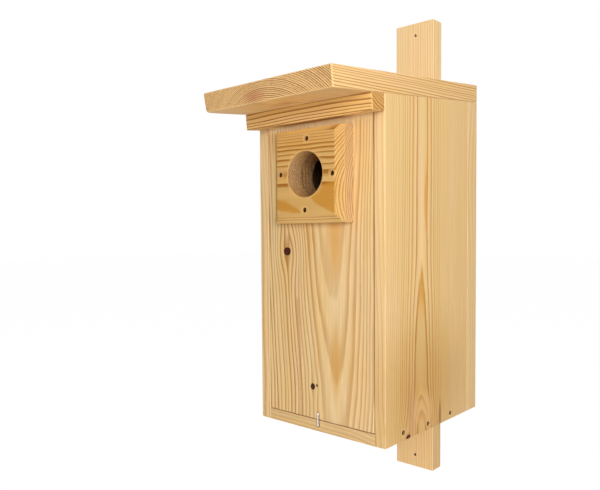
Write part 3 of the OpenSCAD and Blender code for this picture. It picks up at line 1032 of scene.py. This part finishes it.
railBack = -railHigh * math.tan(slope)
frontRail = dict(
    lo=(-halfWide, railBack - stock, -railHigh),
    hi=(halfWide, railBack, 0),
    rounding=1.2,
    step=(2.6, 1.8, 1.6),
    place=fromRoof,
    grain=dict(
        axes=(2, 1, 0), face=railBack - stock, seed=53,
        drift=((-90, -30, 30, 90), (35.5, 36.6, 37.0, 35.6)),
        pith=38, rise=((-90, 90), (0, 0)), known=(49.4, 53.2, 57.1, 60.65, 62.9, 65.5),
        width=(3.4, 2.8), wave=0.5, waveWide=60, waveLong=110,
    ),
    finish=dict(
        early=(232, 188, 116), late=(154, 94, 30), warm=(232, 182, 104), endEarly=(208, 158, 92),
        endLate=(138, 86, 40), lateStart=0.7, lateSoft=0.06, variation=0.2, turn=(0, 90, 0),
    ),
)

makeBoard("frontRail", "box", "front_rail", frontRail)

rearRun = (backHi[1] - frontY) / math.cos(slope)
plumbRun = 40  # the roof's last part, along the slope
wear = dict(usual=1.1, more=2.6, wide=14, high=12)


# The roof's rear end stands upright: its last part leans back with height.
def plumbRear(p):
    share = np.clip((p[:, 1] - rearRun + plumbRun) / plumbRun, 0, 1)
    return moved(p, 1, p[:, 2] * math.tan(slope) * share)


# The arris is worn widest at the front's lower left corner, by a bell about it.
def roofReach(p):
    away = ((p[:, 0] + halfWide) / wear["wide"]) ** 2 + ((p[:, 1] + overhang) / wear["wide"]) ** 2
    return wear["usual"] + wear["more"] * np.exp(-away - (p[:, 2] / wear["high"]) ** 2)


roofBoard = dict(
    lo=(-halfWide, -overhang, 0),
    hi=(halfWide, rearRun, stock),
    rounding=wear["usual"] + wear["more"],
    reach=roofReach,
    step=(2.4, 3.2, 1.6),
    holes=screwHoles(2, 1, [(x, y, 0) for x in (-cornerX, cornerX) for y in roofScrewAlong])
    + screwHoles(2, 1, [(x, -stock / 2, 0) for x in (-railScrewX, railScrewX)]),
    carve=plumbRear,
    place=fromRoof,
    grain=dict(
        axes=(0, 2, 1), face=0, seed=61, drift=((-82, 60, 205), (-4, -9, -14)), sides=(0.9, 0.75),
        pith=45, rise=((-82, 60, 205), (0, -90, -160)), towards=1, known=(43.0, 44.9, 46.8, 48.8, 50.8),
        width=(1.9, 1.77), wave=0.3, waveWide=50, waveLong=400,
        strong=((-90, -45, -20, 20, 90), (0.6, 0.65, 0.95, 0.92, 1)),
    ),
    finish=dict(
        early=(234, 197, 137), late=(186, 130, 64), endEarly=(224, 180, 122), endLate=(104, 54, 16),
        speckle=0.85, warm=(230, 188, 124), rose=(228, 188, 144), lateStart=0.55, variation=0.25,
        turn=(90, 0, 0),
        spots=[
            # painted light: warm bounce light on the roof's underside
            spot((0, -262, 151), (140, 64, 10), 0.55, (246, 184, 88), 0.6),
            spot((-12, -273, 160), (20, 18, 5), 0.4, (206, 132, 56)),
            spot((-2, -272, 159), (15, 22, 4), 0.5, (176, 112, 52)),
            spot((-13, -307, 162), (20, 30, 11), 0.65, (182, 116, 78)),
        ],
    ),
)

makeBoard("roofBoard", "box", "roof_board", roofBoard)

hangingRail = dict(
    lo=hangerLo,
    hi=hangerHi,
    rounding=0.9,
    step=(2.2, 3, 3.2),
    holes=[hole(1, 0, (nailX, 0, z), 5, nailHole, through=True) for z in (-nailZ, nailZ)]
    + screwHoles(1, 1, [(0, 0, z) for z in hangerScrewZ]),
    grain=dict(
        axes=(0, 1, 2), face=hangerLo[1], seed=71, drift=((-301, 0, 301), (-52, -60, -66)), pith=80,
        rise=((-301, 0, 301), (-600, 0, 500)), towards=1, known=(78.0, 80.3, 82.6), width=(2.2, 2.4),
        strong=((-30, 0, 15, 29), (0.35, 0.4, 0.75, 0.9)),
    ),
    finish=dict(
        early=(248, 214, 162), late=(222, 176, 112), torn=(136, 96, 60), warm=(243, 205, 146),
        rose=(246, 211, 162), tint=0.4,
        spots=[
            # painted shade: the rail's lower end is multiplied darker, as if less lit
            spot((0, -21.5, -270), (70, 70, 150), 0.7, (232, 224, 208), 0.2, how="MULTIPLY"),
            # painted shade inside the lower nail hole
            spot((nailX, -12, -nailZ), (2.6, 40, 2.6), 0.8, (52, 24, 6), 0.6, inside=True),
        ],
    ),
)

makeBoard("hangingRail", "box", "hanging_rail", hangingRail)


def steelMaterial(name, p):
    material = bpy.data.materials.new(name)
    t = newTree(material)
    place = placeMm(t)
    cloud = ramp(t, noise(t, place, (1.3, 1.3, 1.3), 3, 0.6), 0.35, 0.65)
    color = blend(t, cloud, srgb(*p["dark"]), srgb(*p["light"]))
    values = {"Base Color": color, "Roughness": timesPlus(t, cloud, -0.15, p["rough"])}
    values.update({"Metallic": p["metal"], "Specular IOR Level": p["shine"]})
    closeMaterial(t, noise(t, place, (0.3, 0.3, 0.3)), 0.4, 0.03, values)
    return material


screwSet = dict(
    shankR=1.6,
    headR=2.8,
    headHigh=2.2,
    sunk=1.6,
    pitch=1.9,
    thread=0.35,
    slotDeep=1.2,
    slotWide=0.42,
    slotLong=1.75,
    around=32,
)
screwLength = dict(plate=36.4, floor=35, back=50, roof=50, rail=32.9, hanger=38.9)
screwLook = dict(dark=(30, 10, 0), light=(96, 64, 26), rough=0.7, metal=0.0, shine=0.03)
screwSteel = steelMaterial("screwSteel", screwLook)


# A countersunk screw about -Z from its head's face: (angle, row), where the row runs out over the head
# from near its middle, down the cone and down the shank, whose radius rises and falls once per pitch and
# turn, to the tip. The head's face drops into a cross, within the slot's width of either axis.
def screwSkin(length, p):
    angle = np.linspace(0, 2 * math.pi, p["around"], endpoint=False)[None, :]
    face = np.array([0.25, 0.5, 0.8, 1.1, 1.4, 1.7, 2.0, 2.4, 2.68])[:, None]
    x, y = abs(face * np.cos(angle)), abs(face * np.sin(angle))
    narrow, wide = np.minimum(x, y), np.maximum(x, y)
    inSlot = np.clip((p["slotWide"] - narrow) / 0.16 + 0.5, 0, 1)
    inSlot = inSlot * np.clip((p["slotLong"] - wide) / 0.2 + 0.5, 0, 1)
    top = -inSlot * p["slotDeep"] * (1 - 0.25 * wide / p["slotLong"])
    head = p["headR"]
    cone = np.array([(head, -0.12), (head - 0.02, -0.2), (2.2, -1.15), (p["shankR"], -p["headHigh"])])
    neck = np.linspace(-p["headHigh"] - 0.5, -length + 3, int((length - 5) / p["pitch"] * 5))[:, None]
    wave = (0.5 + 0.5 * np.cos(neck / p["pitch"] * 2 * math.pi + angle)) ** 2
    shank = p["shankR"] - np.clip((-neck - 6) / 3, 0, 1) * p["thread"] * (1 - wave)
    tip = np.array([(1.1, -length + 2), (0.6, -length + 0.9), (0.2, -length + 0.15)])
    ones = np.ones_like(angle)
    radius = np.concatenate([face * ones, cone[:, :1] * ones, shank, tip[:, :1] * ones])
    height = np.concatenate([top, cone[:, 1:] * ones, neck * ones, tip[:, 1:] * ones])
    points = np.stack([radius * np.cos(angle), radius * np.sin(angle), height], -1).reshape(-1, 3)
    poles = np.array([[0, 0, -p["slotDeep"]], [0, 0, -length]])
    quads, fans = tubeFaces(len(radius), p["around"], len(points), len(points) + 1)
    return np.concatenate([points, poles]), quads[:, ::-1], fans[:, ::-1]


# Every screw: its CAD node, its head's place, the way out of the wood, and its body.
def screwList():
    sunk, upright = screwSet["sunk"], (0, -math.sin(slope), math.cos(slope))

    def onRoof(x, along):
        return tuple(fromRoof(np.array([[x, along, stock - sunk]]))[0])

    found = []
    for node in plateScrews:
        x, _, z = middle(node)
        found.append((node, (x, boxMm(node)[0][1], z), (0, -1, 0), "front"))
    for side, sign in (("left", -1), ("right", 1)):
        for k, (y, z) in enumerate(floorScrewAt, 1):
            found.append((f"floor_screw_{side}_{k}", (sign * (halfWide - sunk), y, z), (sign, 0, 0), "box"))
        for k, z in enumerate(backScrewZ, 1):
            head = (sign * cornerX, backHi[1] - sunk, z)
            found.append((f"back_screw_{side}_{k}", head, (0, 1, 0), "box"))
        for k, along in enumerate(roofScrewAlong, 1):
            found.append((f"roof_screw_{side}_{k}", onRoof(sign * cornerX, along), upright, "box"))
        found.append((f"rail_screw_{side}", onRoof(sign * railScrewX, -stock / 2), upright, "box"))
    for k, z in enumerate(hangerScrewZ, 1):
        found.append((f"hanger_screw_{k}", (0, -sunk, z), (0, 1, 0), "box"))
    return found


def makeScrews(screws):
    rng = np.random.default_rng(7)
    for node, head, out, body in screws:
        kind, *rest = node.split("_")
        points, quads, fans = screwSkin(screwLength[kind], screwSet)
        turn = Vector((0, 0, 1)).rotation_difference(Vector(out)).to_matrix()
        spin = Matrix.Rotation(rng.uniform(0, math.pi / 2), 3, "Z")
        points = points @ np.array(turn @ spin).T + np.array(head)
        name = kind + "".join(word.title() for word in rest)
        addPiece(name, points, quads, fans, body, screwSteel, [node])
    print("screws", len(screws))


makeScrews(screwList())

catchSet = dict(wireR=0.9, bendR=1.8, upright=-226.9, legEnd=-215.5, around=20)
catchLook = dict(dark=(190, 188, 188), light=(232, 230, 230), rough=0.42, metal=0.85, shine=0.3)


# The catch: a round wire carried along a path of two legs, two quarter bends and an upright, at X = 0.
def makeCatch(p):
    bend = np.linspace(0, math.pi / 2, 9)
    y0, r = p["upright"], p["bendR"]
    legs = np.linspace(p["legEnd"], y0 + r, 8)[:-1]
    bendY, bendZ = y0 + r - r * np.sin(bend), r - r * np.cos(bend)
    rise = np.linspace(catchLow + r, catchHigh - r, 10)[1:-1]
    path = np.concatenate(
        [
            np.stack([legs, np.full(len(legs), catchLow)], 1),
            np.stack([bendY, catchLow + bendZ], 1),
            np.stack([np.full(len(rise), y0), rise], 1),
            np.stack([bendY, catchHigh - bendZ], 1)[::-1],
            np.stack([legs[::-1], np.full(len(legs), catchHigh)], 1),
        ]
    )
    along = np.gradient(path, axis=0)
    along /= np.linalg.norm(along, axis=1, keepdims=True)
    out = np.stack([-along[:, 1], along[:, 0]], 1)
    angle = np.linspace(0, 2 * math.pi, p["around"], endpoint=False)
    rounded = np.ones((len(path), 1)) * p["wireR"]
    rounded[[0, -1]] *= 0.8  # the cut ends are eased
    across = path[:, None] + out[:, None] * (rounded * np.cos(angle))[..., None]
    points = np.concatenate([(rounded * np.sin(angle))[..., None], across], 2).reshape(-1, 3)
    poles = np.array([[0, *path[0]], [0, *path[-1]]])
    quads, fans = tubeFaces(len(path), p["around"], len(points), len(points) + 1)
    points = np.concatenate([points, poles])
    material = steelMaterial("catchWire", catchLook)
    addPiece("catchWire", points, quads, fans, "front", material, ["wire_catch"])
    print("wire catch", len(points), "points")


makeCatch(catchSet)

stageSet = dict(half=30.0, z=-1.35, glow=0.88, sky=0.14, aim=(0, -0.15, 0))
lampSet = [
    dict(name="frontLamp", place=(0.9, -1.0, 0.15), size=0.5, power=8.7),
    dict(name="upperLamp", place=(0.75, -1.15, 0.35), size=0.5, power=2.6),
    dict(name="sideLamp", place=(1.6, -0.35, 0.3), size=0.9, power=5.6),
    dict(name="fillLamp", place=(-0.2, -1.5, 0.1), size=0.8, power=3.0),
    dict(name="lowLamp", place=(0.15, -0.5, -1.2), size=1.0, power=6.4),
    dict(name="backLamp", place=(-0.7, 1.4, 0.4), size=1.0, power=16.0),
    dict(name="highLamp", place=(0.6, -0.6, 1.2), size=0.8, power=6.2),
]


# 1 where the camera looks, straight, by a gloss or through glass, and 0 for the light that falls.
def lookedAt(t):
    path = addNode(t, "ShaderNodeLightPath").outputs
    return larger(t, path["Is Camera Ray"], larger(t, path["Is Glossy Ray"], path["Is Transmission Ray"]))


# The floor is a pale sheet far below the hanging box, and it and the studio look white.
def makeStage(p):
    mesh = bpy.data.meshes.new("floorSheet")
    s, z = p["half"], p["z"]
    mesh.from_pydata([(-s, -s, z), (s, -s, z), (s, s, z), (-s, s, z)], [], [(0, 1, 2, 3)])
    sheet = addObject("floorSheet", mesh)
    material = bpy.data.materials.new("floorWhite")
    t = newTree(material)
    diffuse = addNode(t, "ShaderNodeBsdfDiffuse", {"Color": (0.8, 0.8, 0.8, 1)}).outputs[0]
    values = {"Color": (1, 1, 1, 1), "Strength": times(t, lookedAt(t), p["glow"])}
    glow = addNode(t, "ShaderNodeEmission", values).outputs[0]
    both = addNode(t, "ShaderNodeAddShader", {0: diffuse, 1: glow}).outputs[0]
    addNode(t, "ShaderNodeOutputMaterial", {"Surface": both})
    mesh.materials.append(material)

    world = bpy.data.worlds.new("studio")
    bpy.context.scene.world = world
    t = newTree(world)
    sky = {"Color": (1, 1, 1, 1), "Strength": ramp(t, lookedAt(t), 0.0, 1.0, p["sky"], 1.0, "LINEAR")}
    addNode(t, "ShaderNodeOutputWorld", {"Surface": addNode(t, "ShaderNodeBackground", sky).outputs[0]})
    bpy.context.scene.view_settings.view_transform = "Standard"


def makeLamps(lamps, aim):
    for p in lamps:
        data = bpy.data.lights.new(p["name"], "AREA")
        data.shape, data.size, data.energy = "DISK", p["size"], p["power"]
        lamp = addObject(p["name"], data)
        lamp.location = p["place"]
        lamp.rotation_mode = "QUATERNION"
        lamp.rotation_quaternion = (Vector(aim) - Vector(p["place"])).to_track_quat("-Z", "Y")
        lamp.visible_camera = False


makeStage(stageSet)
makeLamps(lampSet, stageSet["aim"])
print("stage and lamps")
